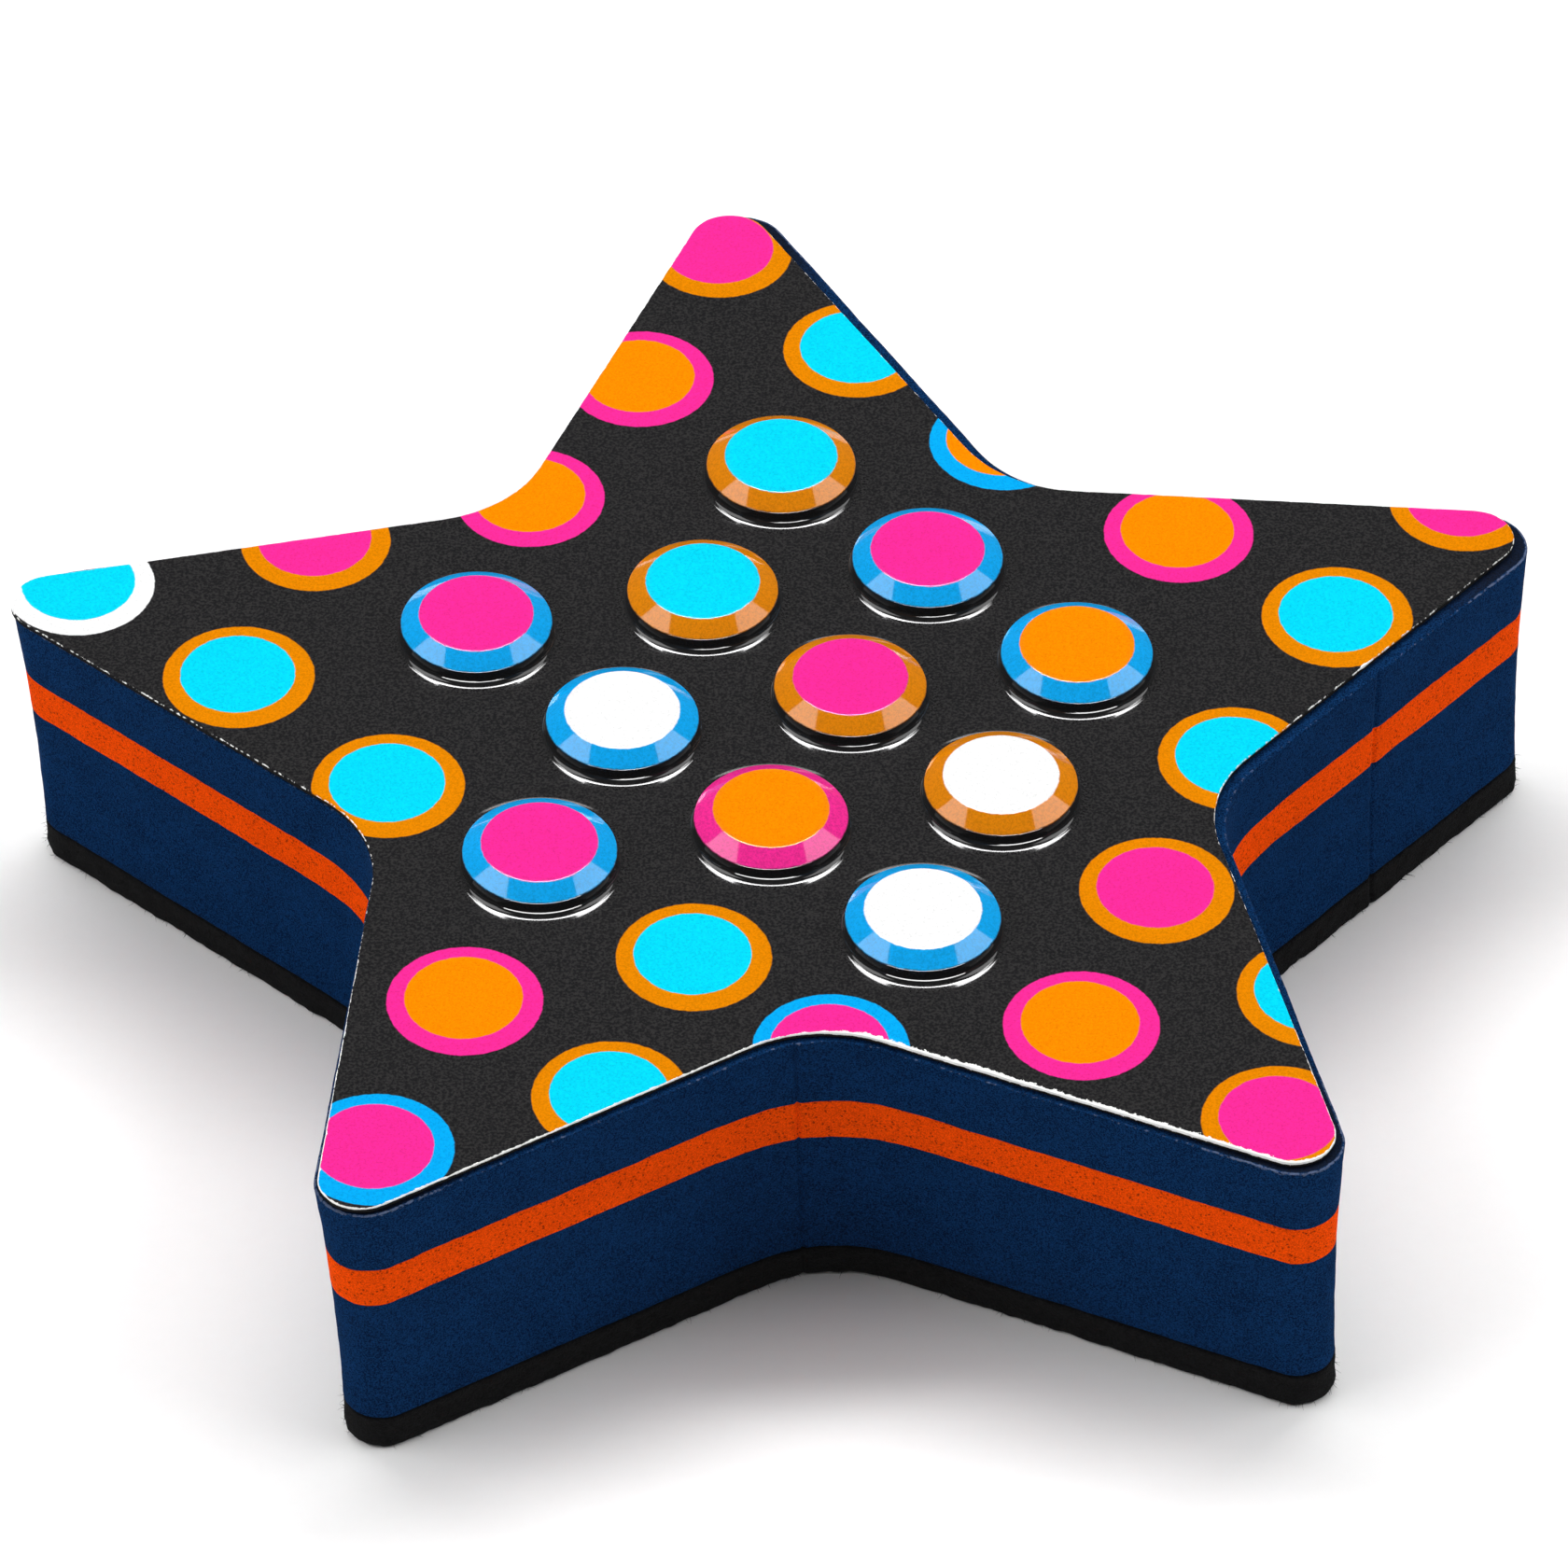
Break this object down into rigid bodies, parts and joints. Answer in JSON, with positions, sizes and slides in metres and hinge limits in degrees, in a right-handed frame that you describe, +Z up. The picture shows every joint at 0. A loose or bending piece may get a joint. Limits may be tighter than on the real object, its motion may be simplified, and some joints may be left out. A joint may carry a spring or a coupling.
{
  "type": "whiteboard eraser",
  "caption": "Star-shaped whiteboard eraser: layered foam body, polka-dot plastic top with formed grip bumps, and a felt wiping pad.",
  "frame": {"origin": "centre of the star on the felt wiping face", "axes": "+Z up, from the felt to the printed top; +Y through one point of the star; +X to the right when that point is away from you"},
  "size_m": [0.0998, 0.0948, 0.0235],
  "materials": {
    "felt": "needled wool-blend felt, fuzzy",
    "glue_film": "thin pressure-sensitive glue film",
    "foam_navy": "matte die-cut closed-cell foam",
    "foam_orange": "matte die-cut closed-cell foam",
    "magnet": "dark grey sintered ferrite",
    "printed_plastic": "printed formed plastic, satin flats and glossy bumps"
  },
  "bodies": {
    "root": {"felt_pad": "felt", "felt_adhesive": "glue_film", "magnet_carrier_foam": "foam_navy", "magnets": "magnet", "core_film": "glue_film", "core_foam": "foam_navy", "lower_stripe_film": "glue_film", "stripe_foam": "foam_orange", "upper_stripe_film": "glue_film", "upper_foam": "foam_navy", "sheet_adhesive": "glue_film", "printed_sheet": "printed_plastic"}
  },
  "joints": []
}
